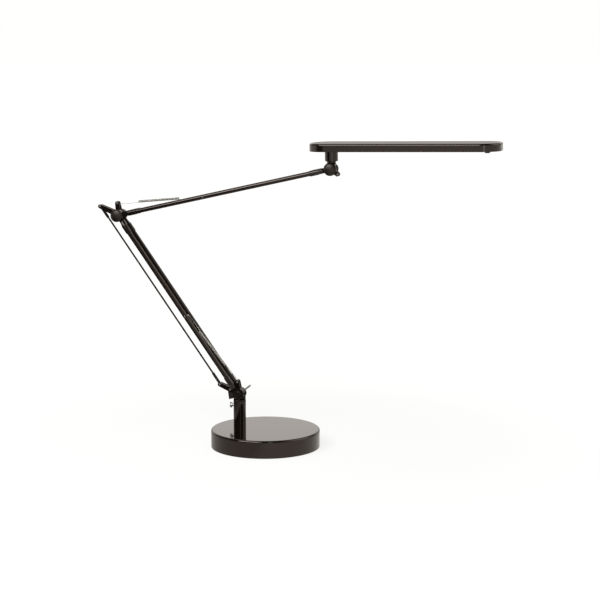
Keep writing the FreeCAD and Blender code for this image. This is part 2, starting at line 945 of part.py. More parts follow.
def arc_from(start, tangent, end, backwards=False):
    """Arc that leaves start along tangent and reaches end."""
    chord = end - start
    across = chord - tangent * chord.dot(tangent)
    across.normalize()
    half = math.atan2(chord.dot(across), chord.dot(tangent))
    radius = chord.Length / (2 * math.sin(half))
    middle = start + tangent * (radius * math.sin(half)) + across * (radius * (1 - math.cos(half)))
    ends = (end, middle, start) if backwards else (start, middle, end)
    return Part.Arc(*ends).toShape()


def straight(start, end):
    return Part.LineSegment(start, end).toShape()


def helix_points(radius, pitch, turns, start):
    """Place and heading at each half turn of a helix about Z that starts on +X."""
    slope = pitch / (2 * math.pi * radius)
    level = 1 / math.hypot(1, slope)
    for half_turn in range(2 * turns + 1):
        angle = math.pi * half_turn
        place_on = Vector(radius * math.cos(angle), radius * math.sin(angle), start + pitch * half_turn / 2)
        heading = Vector(-math.sin(angle) * level, math.cos(angle) * level, slope * level)
        yield place_on, heading


def least_gap(edges, wire):
    """Smallest clear gap between two stretches of the wire that are not neighbours along it."""
    samples = []
    run = 0.0
    for edge in edges:
        steps = max(3, int(edge.Length / wire * 2))
        for point in edge.discretize(steps)[:-1]:
            samples.append((run, point))
            run += edge.Length / (steps - 1)
    apart = 3 * wire
    return min(
        (a - b).Length for i, (at, a) in enumerate(samples) for on, b in samples[i + 1:] if on - at > apart
    ) - wire


def make_spring(label, lead, ear_x, ear_z, pin_x, pin_z):
    """Built about Z from the ear pin at the origin to the cross pin, then turned into place."""
    length = math.hypot(pin_x - ear_x, pin_z - ear_z)
    radius = d.spring_coil_radius.value
    pitch = d.spring_pitch.value
    wire = d.spring_wire.value
    bend = d.spring_bend_radius.value
    turns = int(d.spring_turns.value)
    hook = math.radians(d.spring_hook_angle.value)
    coil = list(helix_points(radius, pitch, turns, lead))
    rise = coil[0][1].z
    level = coil[0][1].y
    side = bend * (1 - rise)
    low = Vector(radius, -side, lead - bend * level)
    high = Vector(radius, side, coil[-1][0].z + bend * level)
    low_eye = Vector(radius, -side, 0)
    high_eye = Vector(radius, side, length)
    low_hook = Vector(radius * math.cos(hook), -side, -radius * math.sin(hook))
    high_hook = Vector(radius * math.cos(hook), side, length + radius * math.sin(hook))
    low_middle = Vector(radius * math.cos(hook / 2), -side, -radius * math.sin(hook / 2))
    high_middle = Vector(radius * math.cos(hook / 2), side, length + radius * math.sin(hook / 2))
    low_tail = low_hook + Vector(-math.sin(hook), 0, -math.cos(hook)) * wire
    high_tail = high_hook + Vector(-math.sin(hook), 0, math.cos(hook)) * wire
    edges = [
        straight(low_tail, low_hook),
        Part.Arc(low_hook, low_middle, low_eye).toShape(),
        straight(low_eye, low),
        arc_from(low, Z_AXIS, coil[0][0]),
    ]
    for (p0, t0), (p1, t1) in zip(coil, coil[1:]):
        edges += biarc(p0, t0, p1, t1)
    edges += [
        arc_from(high, Vector(0, 0, -1), coil[-1][0], True),
        straight(high, high_eye),
        Part.Arc(high_eye, high_middle, high_hook).toShape(),
        straight(high_hook, high_tail),
    ]
    path = Part.Wire(edges)
    section = Part.Wire(Part.Circle(low_tail, low_hook - low_tail, wire / 2).toShape())
    shape = path.makePipeShell([section], True, False)
    expected = math.pi * wire * wire / 4 * path.Length
    print(f"{label}: {turns} turns, least gap {least_gap(edges, wire):.2f} mm,", end=" ")
    print(f"volume {shape.Volume:.1f} of {expected:.1f} mm3")
    spring = doc.addObject("Part::Feature", label)
    spring.Label = label
    spring.Shape = shape
    heading = math.degrees(math.atan2(pin_x - ear_x, pin_z - ear_z))
    spring.Placement = Placement(Vector(ear_x, post_y.value, ear_z), Rotation(Y_AXIS, heading))
    pieces.append(spring)


# Link rod

def make_link_eye(label, clearance, x, z, angle):
    sleeve = d.rod_sleeve_diameter / 2
    eye = new_body(label)
    thickness = d.plate_gap - 2 * d.joint_gap
    ring = new_sketch(eye, "XZ_Plane", -thickness / 2)
    circle(ring, 0, 0, d.rod_eye_radius)
    pad(eye, ring, thickness)
    turn(eye, [(0, 0), (sleeve, 0), (sleeve, d.rod_sleeve_length), (0, d.rod_sleeve_length)])
    bore = d.rod_diameter / 2 + d.running_clearance
    depth = d.rod_sleeve_length - d.rod_sleeve_floor
    round_hole(eye, "XY_Plane", 0, 0, bore, d.rod_sleeve_floor, depth)
    round_hole(eye, "XZ_Plane", 0, 0, ear_pin_radius + clearance)
    place(eye, x, post_y, z, angle)


def make_link_rod():
    radius = d.rod_diameter / 2
    end = d.lower_arm_length - d.rod_sleeve_floor
    link = turned(
        "link_rod", [(0, d.rod_sleeve_floor), (radius, d.rod_sleeve_floor), (radius, end), (0, end)]
    )
    place(link, post_x + d.lever_x, post_y, pivot_z + d.lever_z, lower_turn)


# Clamping knobs

def make_knob(label, lug_face, x, z, angle=0):
    radius = d.knob_diameter / 2
    seat = lug_face + d.joint_gap
    front = seat + d.knob_thickness
    bore_end = seat + d.bolt_grip + d.knob_bore_spare
    knob = turned(
        label,
        [
            (bolt_hole, -seat),
            (radius, -seat),
            (radius, -front),
            (0, -front),
            (0, -bore_end),
            (bolt_hole, -bore_end),
        ],
        "Y",
    )
    fillet(knob, d.knob_dome, "Y", -front)
    place(knob, x, post_y, z, angle)


def make_elbow_spacer():
    outer = d.spacer_diameter / 2
    spacer = turned(
        "elbow_spacer",
        [(bolt_hole, -plate_inner), (outer, -plate_inner), (outer, plate_inner), (bolt_hole, plate_inner)],
        "Y",
    )
    place(spacer, elbow_x, post_y, elbow_z)


# Neck, in the head's own frame about the tilt pivot

tray_low = d.head_rise + d.tray_recess
tray_top = tray_low + d.tray_thickness
head_ceiling = d.head_rise + d.head_thickness - d.head_wall
collar_low = d.neck_end + d.joint_gap
collar_top = tray_top + d.neck_nut_height
clip_low = collar_top + d.joint_gap
clip_top = clip_low + d.neck_clip_thickness
clip_bore = d.spindle_diameter / 2 - d.neck_clip_groove + d.running_clearance


def place_in_head(piece):
    place(piece, tip_x, post_y, tip_z, head_turn)


def make_neck_block():
    neck = d.neck_diameter / 2
    spindle = d.spindle_diameter / 2
    groove = spindle - d.neck_clip_groove
    groove_low = clip_low - d.running_clearance
    groove_high = clip_top + d.running_clearance
    end = groove_high + d.spindle_tail
    block = turned(
        "neck_block",
        [
            (0, d.neck_start),
            (neck, d.neck_start),
            (neck, d.neck_end),
            (spindle, d.neck_end),
            (spindle, groove_low),
            (groove, groove_low),
            (groove, groove_high),
            (spindle, groove_high),
            (spindle, end),
            (0, end),
        ],
    )
    web = new_sketch(block, "XZ_Plane", -plate_inner)
    box(web, -neck, 0, neck, d.neck_end)
    pad(block, web, d.plate_gap)
    tongue = new_sketch(block, "XZ_Plane", -plate_inner)
    circle(tongue, 0, 0, d.neck_tongue_radius)
    pad(block, tongue, d.plate_gap)
    round_hole(block, "XZ_Plane", 0, 0, bolt_hole)
    place_in_head(block)


def make_neck_collar():
    outer = d.collar_diameter / 2
    spigot = d.collar_spigot_diameter / 2
    bore = d.spindle_diameter / 2 + d.running_clearance
    collar = turned(
        "neck_collar",
        [
            (bore, collar_low),
            (outer, collar_low),
            (outer, tray_low),
            (spigot, tray_low),
            (spigot, collar_top),
            (bore, collar_top),
        ],
    )
    fillet(collar, d.collar_edge_radius, "Z", collar_low, longer_than=2 * math.pi * spigot.value)
    place_in_head(collar)


def make_neck_nut():
    hole = d.collar_spigot_diameter / 2 + d.running_clearance
    nut = make_nut("neck_nut", d.neck_nut_width, d.neck_nut_height, hole, 0, 0, tray_top)
    place_in_head(nut)


def make_neck_clip():
    outer = d.neck_clip_diameter / 2
    clip = turned(
        "neck_clip", [(clip_bore, clip_low), (outer, clip_low), (outer, clip_top), (clip_bore, clip_top)]
    )
    place_in_head(clip)


# Head: cover, tray, light and switch

head_start = -d.head_overhang
head_end = d.head_length - d.head_overhang
half_depth = d.head_depth / 2
head_corner_radius = (d.head_depth - d.head_end_flat) / 2
window_end = head_end - d.window_end_inset
half_window = half_depth - d.window_side_inset
button_x = head_end - d.button_end_inset
head_screw_places = [
    (head_start + d.head_screw_inset_x, half_depth - d.head_screw_inset_y),
    (head_start + d.head_screw_inset_x, d.head_screw_inset_y - half_depth),
    (head_end - d.head_screw_inset_x, half_depth - d.head_screw_inset_y),
    (head_end - d.head_screw_inset_x, d.head_screw_inset_y - half_depth),
]


def head_outline(sketch, inset):
    rounded_box(
        sketch,
        head_start + inset,
        inset - half_depth,
        head_end - inset,
        half_depth - inset,
        head_corner_radius - inset,
    )


def make_head_cover():
    cover = new_body("head_cover")
    outside = new_sketch(cover, "XY_Plane", d.head_rise)
    head_outline(outside, size(0))
    pad(cover, outside, d.head_thickness)
    fillet(cover, d.head_edge_radius, "Z", d.head_rise + d.head_thickness)
    inside = new_sketch(cover, "XY_Plane", d.head_rise)
    head_outline(inside, d.head_wall)
    pocket(cover, inside, d.head_thickness - d.head_wall)
    bosses = new_sketch(cover, "XY_Plane", tray_top)
    holes = new_sketch(cover, "XY_Plane", tray_top)
    for x, y in head_screw_places:
        circle(bosses, x, y, d.head_boss_diameter / 2)
        circle(holes, x, y, d.head_screw_diameter / 2 + d.running_clearance)
    pad(cover, bosses, head_ceiling - tray_top)
    pocket(cover, holes, d.head_screw_grip + d.hole_clearance)
    place_in_head(cover)


def make_head_tray():
    tray = new_body("head_tray")
    outside = new_sketch(tray, "XY_Plane", tray_low)
    head_outline(outside, d.head_wall + d.tray_fit)
    pad(tray, outside, d.tray_thickness)
    openings = new_sketch(tray, "XY_Plane")
    rounded_box(openings, d.window_start, -half_window, window_end, half_window, d.window_corner_radius)
    circle(openings, 0, 0, d.collar_spigot_diameter / 2 + d.running_clearance)
    circle(openings, button_x, 0, d.button_diameter / 2 + d.hole_clearance)
    recesses = new_sketch(tray, "XY_Plane", tray_low)
    for x, y in head_screw_places:
        circle(openings, x, y, d.head_screw_diameter / 2 + d.hole_clearance)
        circle(recesses, x, y, d.head_screw_head_diameter / 2 + d.hole_clearance)
    pocket(tray, openings)
    pocket(tray, recesses, d.head_screw_head_height)
    place_in_head(tray)


def make_diffuser():
    diffuser = new_body("diffuser")
    sheet_outline = new_sketch(diffuser, "XY_Plane", tray_top)
    rounded_box(
        sheet_outline,
        d.window_start - d.diffuser_ledge,
        -half_window - d.diffuser_ledge,
        window_end + d.diffuser_ledge,
        half_window + d.diffuser_ledge,
        d.window_corner_radius,
    )
    pad(diffuser, sheet_outline, d.diffuser_thickness)
    place_in_head(diffuser)


def make_led_board():
    board = new_body("led_board")
    low = head_ceiling - d.board_thickness
    start = d.window_start + d.board_end_margin
    end = window_end - d.board_end_margin
    half_board = half_window - d.board_side_margin
    outline = new_sketch(board, "XY_Plane", low)
    box(outline, start, -half_board, end, half_board)
    pad(board, outline, d.board_thickness)
    chips = new_sketch(board, "XY_Plane", low - d.led_height)
    first = start + d.led_end_margin
    for row in (1, -1):
        middle = row * d.led_row_spacing / 2
        box(chips, first, middle - d.led_width / 2, first + d.led_width, middle + d.led_width / 2)
    pair = pad(board, chips, d.led_height)
    pattern = board.newObject("PartDesign::LinearPattern", "LinearPattern")
    pattern.Originals = [pair]
    pattern.Direction = (chips, ["H_Axis"])
    pattern.setExpression("Length", (end - d.led_end_margin - d.led_width - first).text)
    pattern.setExpression("Occurrences", d.led_count.text)
    board.Tip = pattern
    place_in_head(board)


def make_switch_body():
    switch = new_body("switch_body")
    half = d.switch_width / 2
    outline = new_sketch(switch, "XY_Plane", tray_top)
    box(outline, button_x - half, -half, button_x + half, half)
    pad(switch, outline, d.switch_height)
    depth = d.button_flange_thickness + d.button_room
    round_hole(switch, "XY_Plane", button_x, 0, d.switch_cavity_diameter / 2, tray_top, depth)
    place_in_head(switch)


def make_switch_button():
    cap = d.button_diameter / 2
    flange = d.button_flange_diameter / 2
    low = d.head_rise - d.button_stand
    seat = tray_top + d.hole_clearance
    top = seat + d.button_flange_thickness
    button = turned(
        "switch_button", [(0, low), (cap, low), (cap, seat), (flange, seat), (flange, top), (0, top)]
    )
    fillet(button, d.button_edge_radius, "Z", low)
    x = tip_x + button_x * cos(d.head_tilt)
    z = tip_z + button_x * sin(d.head_tilt)
    place(button, x, post_y, z, head_turn)


def make_head_screws():
    screws = []
    seat = tray_low + d.head_screw_head_height
    for x, y in head_screw_places:
        head = rod("head_screw_head", d.head_screw_head_diameter / 2, d.head_screw_head_height)
        shank = rod("head_screw_shank", d.head_screw_diameter / 2, tray_top + d.head_screw_grip - seat)
        place(head, x, y, tray_low)
        place(shank, x, y, seat)
        screw = doc.addObject("Part::Fuse", "head_screw")
        screw.Base = head
        screw.Tool = shank
        screws.append(screw)
    place_in_head(group("head_screws", screws))


# Assembly

def make_base():
    make_base_cover()
    make_base_weight()
    make_base_pad()
    make_weight_screws()
    make_power_inlet()
    make_post_tube()
    make_post_nipple()
    make_post_nut()
    make_post_bush()
    make_post_wing_screw()


def make_lower_joint():
    make_swivel_head()
    for side in (FRONT, BACK):
        rivet_hole = (stop_rivet_x, stop_rivet_z, stop_rivet_hole)
        make_plate("lower_plate", side, arm_ears, [rivet_hole], post_x, pivot_z)
    make_ear_pins("lower_ear_pins", post_x, pivot_z)
    bolt_end = inner_lug_outer + d.joint_gap + d.wing_nut_hub_length + d.lower_bolt_tail
    make_pivot_bolt("lower_bolt", inner_lug_outer, bolt_end, FRONT, post_x, pivot_z)
    make_stop_block()
    make_stop_rivet()
    make_lower_wing_nut()


def make_arm(name, root, far, root_lug, length, root_x, root_z, far_x, far_z, turn_angle):
    for side in (FRONT, BACK):
        make_tube(f"{name}_tube", side, length, root_x, root_z, turn_angle)
        make_fitting(f"{name}_{root}", side, root_lug, root_x, root_z, turn_angle)
        make_fitting(f"{name}_{far}", side, inner_lug, far_x, far_z, turn_angle + 180)
    pin_x = root_x + d.cross_pin_reach * sin(turn_angle)
    pin_z = root_z + d.cross_pin_reach * cos(turn_angle)
    make_cross_pin(f"{name}_cross_pin", pin_x, pin_z)
    lead = d.lower_spring_lead if name == "lower" else d.upper_spring_lead
    ear_x = root_x + d.tab_x
    ear_z = root_z + d.tab_z
    make_spring(f"{name}_spring", lead.value, ear_x.value, ear_z.value, pin_x.value, pin_z.value)


def make_link():
    low_x = post_x + d.lever_x
    low_z = pivot_z + d.lever_z
    high_x = elbow_x + d.lever_x
    high_z = elbow_z + d.lever_z
    make_link_rod()
    make_link_eye("link_eye_lower", d.running_clearance, low_x, low_z, lower_turn)
    make_link_eye("link_eye_upper", d.rod_open_clearance, high_x, high_z, lower_turn + 180)


def make_elbow():
    for side in (FRONT, BACK):
        make_plate("elbow_plate", side, arm_ears, [], elbow_x, elbow_z)
    make_ear_pins("elbow_ear_pins", elbow_x, elbow_z)
    make_elbow_spacer()
    bolt_end = outer_lug_outer + d.joint_gap + d.bolt_grip
    make_pivot_bolt("elbow_bolt", outer_lug_outer, bolt_end, BACK, elbow_x, elbow_z)
    make_knob("elbow_knob", outer_lug_outer, elbow_x, elbow_z)


def make_neck():
    for side in (FRONT, BACK):
        make_plate("tilt_plate", side, [(d.tilt_ear_x, d.tilt_ear_z)], [], tip_x, tip_z, head_turn)
    make_neck_block()
    bolt_end = inner_lug_outer + d.joint_gap + d.bolt_grip
    make_pivot_bolt("tilt_bolt", inner_lug_outer, bolt_end, BACK, tip_x, tip_z, head_turn)
    make_knob("tilt_knob", inner_lug_outer, tip_x, tip_z, head_turn)
    make_neck_collar()
    make_neck_nut()
    make_neck_clip()


def make_head():
    make_head_cover()
    make_head_tray()
    make_diffuser()
    make_led_board()
    make_switch_body()
    make_switch_button()
    make_head_screws()


def check():
    doc.recompute()
    failed = [item.Name for item in doc.Objects if {"Invalid", "Error"} & set(item.State)]
    if failed:
        raise RuntimeError(f"objects failed: {failed}")
    for piece in pieces:
        if piece.Shape.isNull() or not piece.Shape.isValid():
            raise RuntimeError(f"{piece.Label} has no valid shape")


def write():
    os.makedirs("parts", exist_ok=True)
    for piece in pieces:
        piece.Shape.exportStep(os.path.join("parts", f"{piece.Label}.step"))
    print(f"{len(pieces)} pieces")
    for name, x, z in (("lower", post_x, pivot_z), ("elbow", elbow_x, elbow_z), ("tilt", tip_x, tip_z)):
        print(f"{name} pivot at {x.value:.4f}, {post_y.value:.4f}, {z.value:.4f}")


make_base()
make_lower_joint()
make_arm(
    "lower", "foot", "top", inner_lug, d.lower_arm_length, post_x, pivot_z, elbow_x, elbow_z, lower_turn
)
make_link()
make_elbow()
make_arm("upper", "heel", "tip", outer_lug, d.upper_arm_length, elbow_x, elbow_z, tip_x, tip_z, upper_turn)
make_neck()
make_head()
check()
write()
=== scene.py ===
import json
import math

import bmesh
import bpy
from mathutils import Matrix, Vector


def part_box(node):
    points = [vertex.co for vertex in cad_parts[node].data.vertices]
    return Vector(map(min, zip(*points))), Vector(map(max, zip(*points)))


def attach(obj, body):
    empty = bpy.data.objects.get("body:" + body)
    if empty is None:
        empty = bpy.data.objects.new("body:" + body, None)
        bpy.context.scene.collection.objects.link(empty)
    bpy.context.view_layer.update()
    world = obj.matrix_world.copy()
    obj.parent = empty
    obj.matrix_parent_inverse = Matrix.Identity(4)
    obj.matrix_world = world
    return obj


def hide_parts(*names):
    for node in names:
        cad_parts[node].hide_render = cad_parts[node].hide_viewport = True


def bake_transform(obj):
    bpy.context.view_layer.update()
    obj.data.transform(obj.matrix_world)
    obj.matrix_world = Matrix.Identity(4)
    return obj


# Looks of the LED desk lamp: finishes, wound springs, domed knobs, recessed screws, eased edges
# and the studio.

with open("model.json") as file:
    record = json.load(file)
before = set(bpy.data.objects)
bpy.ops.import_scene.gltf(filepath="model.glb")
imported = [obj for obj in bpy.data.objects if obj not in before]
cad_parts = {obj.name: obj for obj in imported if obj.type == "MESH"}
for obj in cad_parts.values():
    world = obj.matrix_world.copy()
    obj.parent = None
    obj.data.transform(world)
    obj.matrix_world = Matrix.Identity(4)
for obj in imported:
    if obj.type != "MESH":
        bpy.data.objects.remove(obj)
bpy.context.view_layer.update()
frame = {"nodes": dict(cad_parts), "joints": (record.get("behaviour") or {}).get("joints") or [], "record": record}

MM = 0.001
ACROSS = Vector((0, 1, 0))
UP = Vector((0, 0, 1))
bodies = frame["record"]["behaviour"]["bodies"]
body_of = {node: body for body, members in bodies.items() for node in members}
slot_of = {entry["node"]: entry["material_slot"] for entry in frame["record"]["subparts"]}
joint = {entry["name"]: entry for entry in frame["joints"]}


# Shader writing

class Tone:
    """A value in a shader. Arithmetic on it adds Math nodes."""

    def __init__(self, shader, socket):
        self.shader = shader
        self.socket = socket

    def math(self, operation, first, second):
        return self.shader.node("ShaderNodeMath", {"operation": operation}, (first, second))

    def __add__(self, other):
        return self.math("ADD", self, other)

    def __rsub__(self, other):
        return self.math("SUBTRACT", other, self)

    def __mul__(self, other):
        return self.math("MULTIPLY", self, other)

    def __lt__(self, other):
        return self.math("LESS_THAN", self, other)

    def larger(self, other):
        return self.math("MAXIMUM", self, other)

    __radd__ = __add__
    __rmul__ = __mul__


class Shader:
    """The nodes of one material or of the world."""

    def __init__(self, tree):
        self.tree = tree
        tree.nodes.clear()

    def node(self, kind, settings=None, values=(), out=0):
        """Adds a node: its settings, then the value or link of each socket, by place or by name."""
        node = self.tree.nodes.new(kind)
        for name, setting in (settings or {}).items():
            setattr(node, name, setting)
        for key, value in values.items() if isinstance(values, dict) else enumerate(values):
            if isinstance(value, Tone):
                self.tree.links.new(value.socket, node.inputs[key])
            else:
                node.inputs[key].default_value = value
        return Tone(self, node.outputs[out]) if node.outputs else node

    def mix(self, amount, first, second):
        values = {0: amount, 6: first, 7: second}
        return self.node("ShaderNodeMix", {"data_type": "RGBA"}, values, 2)

    def between(self, value, low, high):
        """0 below low, 1 above high, and smooth from one to the other."""
        settings = {"interpolation_type": "SMOOTHSTEP"}
        values = {"Value": value, "From Min": low, "From Max": high}
        return self.node("ShaderNodeMapRange", settings, values)

    def vector(self, operation, values, out=0):
        return self.node("ShaderNodeVectorMath", {"operation": operation}, values, out)

    def scaled(self, tint, amount):
        """A colour at any strength, above 1 too."""
        return self.vector("SCALE", {0: tint[:3], "Scale": amount})

    def dot(self, first, second):
        return self.vector("DOT_PRODUCT", {0: first, 1: second}, 1)


class Finish(Shader):
    """One material, with patterns laid out in metres on the piece itself."""

    def __init__(self, name):
        self.material = bpy.data.materials.new(name)
        self.material.use_nodes = True
        super().__init__(self.material.node_tree)
        self.place = self.node("ShaderNodeTexCoord", out="Object")

    def stretched(self, along):
        return self.vector("MULTIPLY", {0: self.place, 1: along})

    def noise(self, per_metre, detail, where=None):
        values = {"Vector": where or self.place, "Scale": per_metre, "Detail": detail}
        return self.node("ShaderNodeTexNoise", values=values)

    def specks(self, per_metre, size):
        """Small round spots, 1 inside and 0 outside."""
        values = {"Vector": self.place, "Scale": per_metre, "Randomness": 1.0}
        return self.node("ShaderNodeTexVoronoi", values=values) < size

    def bump(self, height, depth):
        values = {"Strength": 1.0, "Distance": depth, "Height": height}
        return self.node("ShaderNodeBump", values=values)

    def surface(self, **values):
        named = {name.replace("_", " ").title(): value for name, value in values.items()}
        if "Ior" in named:
            named["IOR"] = named.pop("Ior")
        shader = self.node("ShaderNodeBsdfPrincipled", values=named)
        self.node("ShaderNodeOutputMaterial", values={"Surface": shader})
        return self.material


def colour(red, green, blue):
    return (red, green, blue, 1.0)


# Finishes. Depths are in metres.

WARM_BLACK = colour(1, 0.86, 0.78)


def stoved_black():
    """Black paint baked on metal: a faint orange peel, wiped smears and a little dust."""
    finish = Finish("stoved_black_paint")
    smear = finish.noise(per_metre=16, detail=4)
    cloud = finish.noise(per_metre=5, detail=2)
    peel = finish.noise(per_metre=380, detail=2)
    dust = finish.specks(per_metre=420, size=0.035)
    ground = finish.mix(cloud, colour(0.0046, 0.0028, 0.0021), colour(0.0066, 0.0042, 0.0034))
    return finish.surface(
        base_color=finish.mix(dust * 0.35, ground, colour(0.09, 0.085, 0.08)),
        roughness=0.035 + smear * 0.05 + dust * 0.2,
        normal=finish.bump(peel, depth=0.000012),
        ior=1.5,
        specular_tint=WARM_BLACK,
    )


def moulded_black(name, sheen, texture_depth):
    """Black moulded plastic: a fine mould texture and flow clouds."""
    finish = Finish(name)
    flow = finish.noise(per_metre=34, detail=3)
    grain = finish.noise(per_metre=2400, detail=2)
    return finish.surface(
        base_color=finish.mix(flow, colour(0.0034, 0.0028, 0.0024), colour(0.0066, 0.0054, 0.0047)),
        roughness=sheen + flow * 0.08 + grain * 0.04,
        normal=finish.bump(grain, depth=texture_depth),
        ior=1.48,
        specular_tint=WARM_BLACK,
    )


def sparked_black():
    """Matt black plastic with a spark-eroded mould texture."""
    finish = Finish("sparked_black_plastic")
    grain = finish.noise(per_metre=1700, detail=4)
    wear = finish.noise(per_metre=60, detail=3)
    return finish.surface(
        base_color=finish.mix(wear, colour(0.005, 0.0046, 0.0042), colour(0.01, 0.0092, 0.0085)),
        roughness=0.46 + grain * 0.2,
        normal=finish.bump(grain, depth=0.00008),
        ior=1.42,
        specular_tint=WARM_BLACK,
    )


def plated_bright(name, ground, dull):
    """Bright plating with hairline polishing marks and finger smears."""
    finish = Finish(name)
    smear = finish.noise(per_metre=140, detail=3)
    lines = finish.noise(per_metre=90, detail=2, where=finish.stretched((40, 2, 40)))
    return finish.surface(
        base_color=finish.mix(smear, ground, colour(*[0.86 * part for part in ground[:3]])),
        metallic=1.0,
        roughness=dull + smear * 0.06 + lines * 0.06,
        normal=finish.bump(lines, depth=0.00002),
    )


def drawn_wire():
    """Spring wire: fine draw marks and a patchy oil film."""
    finish = Finish("drawn_spring_wire")
    film = finish.noise(per_metre=220, detail=3)
    lines = finish.noise(per_metre=3200, detail=2)
    return finish.surface(
        base_color=finish.mix(film, colour(0.5, 0.49, 0.45), colour(0.41, 0.4, 0.37)),
        metallic=0.85,
        roughness=0.46 + film * 0.12 + lines * 0.06,
        normal=finish.bump(lines, depth=0.00002),
    )


def sand_cast():
    """Iron with the grit of its sand mould and patches of rust."""
    finish = Finish("sand_cast_iron")
    grit = finish.noise(per_metre=900, detail=5)
    rust = finish.between(finish.noise(per_metre=45, detail=4), 0.52, 0.72)
    return finish.surface(
        base_color=finish.mix(rust, colour(0.045, 0.044, 0.043), colour(0.075, 0.05, 0.036)),
        metallic=0.6,
        roughness=0.55 + grit * 0.25,
        normal=finish.bump(grit, depth=0.0003),
    )


def foot_rubber():
    """Foam rubber under the base, with closed pores."""
    finish = Finish("foot_rubber")
    pores = finish.specks(per_metre=900, size=0.22)
    scuff = finish.noise(per_metre=70, detail=4)
    return finish.surface(
        base_color=finish.mix(scuff, colour(0.012, 0.012, 0.012), colour(0.028, 0.027, 0.026)),
        roughness=0.72 + scuff * 0.2,
        normal=finish.bump(1 - pores, depth=0.00015),
    )


def opal_sheet():
    """Opal diffuser with fine prism ribs across the head."""
    finish = Finish("opal_sheet")
    settings = {"wave_type": "BANDS", "bands_direction": "Y"}
    values = {"Vector": finish.place, "Scale": 190.0}
    ribs = finish.node("ShaderNodeTexWave", settings, values, 1)
    milk = finish.noise(per_metre=30, detail=2)
    return finish.surface(
        base_color=finish.mix(milk, colour(0.8, 0.8, 0.78), colour(0.86, 0.86, 0.85)),
        roughness=0.34 + milk * 0.1,
        normal=finish.bump(ribs, depth=0.0002),
        subsurface_weight=0.25,
        subsurface_radius=(0.004, 0.004, 0.004),
    )


def solder_masked():
    """White lacquer over the weave of the LED board."""
    finish = Finish("white_solder_mask")
    weave = finish.noise(per_metre=1500, detail=2)
    return finish.surface(
        base_color=finish.mix(weave, colour(0.74, 0.74, 0.71), colour(0.82, 0.81, 0.77)),
        roughness=0.35 + weave * 0.12,
        normal=finish.bump(weave, depth=0.00003),
    )


knob_plastic = moulded_black("satin_black_plastic", sheen=0.36, texture_depth=0.00002)
zinc = plated_bright("zinc_plated_steel", colour(0.78, 0.77, 0.74), dull=0.3)
cast_zinc = plated_bright("cast_zinc", colour(0.42, 0.41, 0.4), dull=0.26)
blued = plated_bright("blued_steel", colour(0.035, 0.033, 0.032), dull=0.22)
wire_steel = drawn_wire()

SLOT_FINISH = {
    "black_paint": stoved_black(),
    "black_gloss_plastic": moulded_black("gloss_black_plastic", sheen=0.07, texture_depth=0.000008),
    "black_matte_plastic": sparked_black(),
    "chrome": plated_bright("bright_chrome", colour(0.72, 0.71, 0.69), dull=0.06),
    "steel": zinc,
    "cast_iron": sand_cast(),
    "rubber": foot_rubber(),
    "opal_plastic": opal_sheet(),
    "white_board": solder_masked(),
}
NODE_FINISH = {
    "elbow_knob": knob_plastic,
    "tilt_knob": knob_plastic,
    "lower_bolt": blued,
    "lower_wing_nut": cast_zinc,
    "post_wing_screw": cast_zinc,
    "stop_rivet": cast_zinc,
    "lower_ear_pins": zinc,
    "elbow_ear_pins": zinc,
}


def finish_of(node):
    return NODE_FINISH.get(node) or SLOT_FINISH[slot_of[node]]


# Mesh helpers

SAME_POINT = 0.002 * MM
SHORTEST_EDGE = 0.1 * MM
SAME_PLANE = math.radians(0.3)
HARD_EDGE = math.radians(40)
SAME_CURVE = math.cos(math.radians(50))


def add_piece(name, form, material):
    """Makes a smoothly shaded object of a bmesh."""
    mesh = bpy.data.meshes.new(name)
    form.to_mesh(mesh)
    form.free()
    mesh.shade_smooth()
    mesh.materials.append(material)
    piece = bpy.data.objects.new(name, mesh)
    bpy.context.scene.collection.objects.link(piece)
    return piece


def keep_flats_flat(mesh):
    """Lets the broad faces set the normals, so that only the eased edges between look round."""
    around = [[] for _ in mesh.vertices]
    for face in mesh.polygons:
        for corner in face.vertices:
            around[corner].append(face)
    normals = []
    for face in mesh.polygons:
        for corner in face.vertices:
            total = Vector()
            for other in around[corner]:
                if other.normal.dot(face.normal) > SAME_CURVE:
                    total += other.normal * other.area
            normals.append(total.normalized())
    mesh.normals_split_custom_set(normals)


def stand_for(piece, node):
    """Shows a piece in place of a solid, on its body."""
    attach(piece, body_of[node])
    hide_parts(node)


def circle(radius, sides):
    angles = [math.tau * i / sides for i in range(sides)]
    return [(radius * math.cos(angle), radius * math.sin(angle)) for angle in angles]


def wall(form, first, second):
    """Faces between two rings of as many corners."""
    for i, corner in enumerate(first):
        j = (i + 1) % len(first)
        form.faces.new((corner, first[j], second[j], second[i]))


def fan(form, ring, tip):
    """Faces from a ring to one corner."""
    for i, corner in enumerate(ring):
        form.faces.new((corner, ring[(i + 1) % len(ring)], tip))


def eased(node, radius):
    """A solid with its hard edges rounded, as tumbling, moulding or paint leaves them."""
    form = bmesh.new()
    form.from_mesh(frame["nodes"][node].data)
    bmesh.ops.remove_doubles(form, verts=form.verts, dist=SAME_POINT)
    bmesh.ops.dissolve_limit(form, angle_limit=SAME_PLANE, verts=form.verts, edges=form.edges)
    short = [edge for edge in form.edges if edge.calc_length() < SHORTEST_EDGE]
    bmesh.ops.collapse(form, edges=short)
    hard = [edge for edge in form.edges if edge.is_manifold and edge.calc_face_angle(0) > HARD_EDGE]
    bmesh.ops.bevel(
        form,
        geom=hard,
        offset=radius * MM,
        segments=2,
        profile=0.5,
        affect="EDGES",
        clamp_overlap=True,
    )
    bmesh.ops.remove_doubles(form, verts=form.verts, dist=SAME_POINT)
    piece = add_piece(f"eased_{node}", form, finish_of(node))
    keep_flats_flat(piece.data)
    stand_for(piece, node)


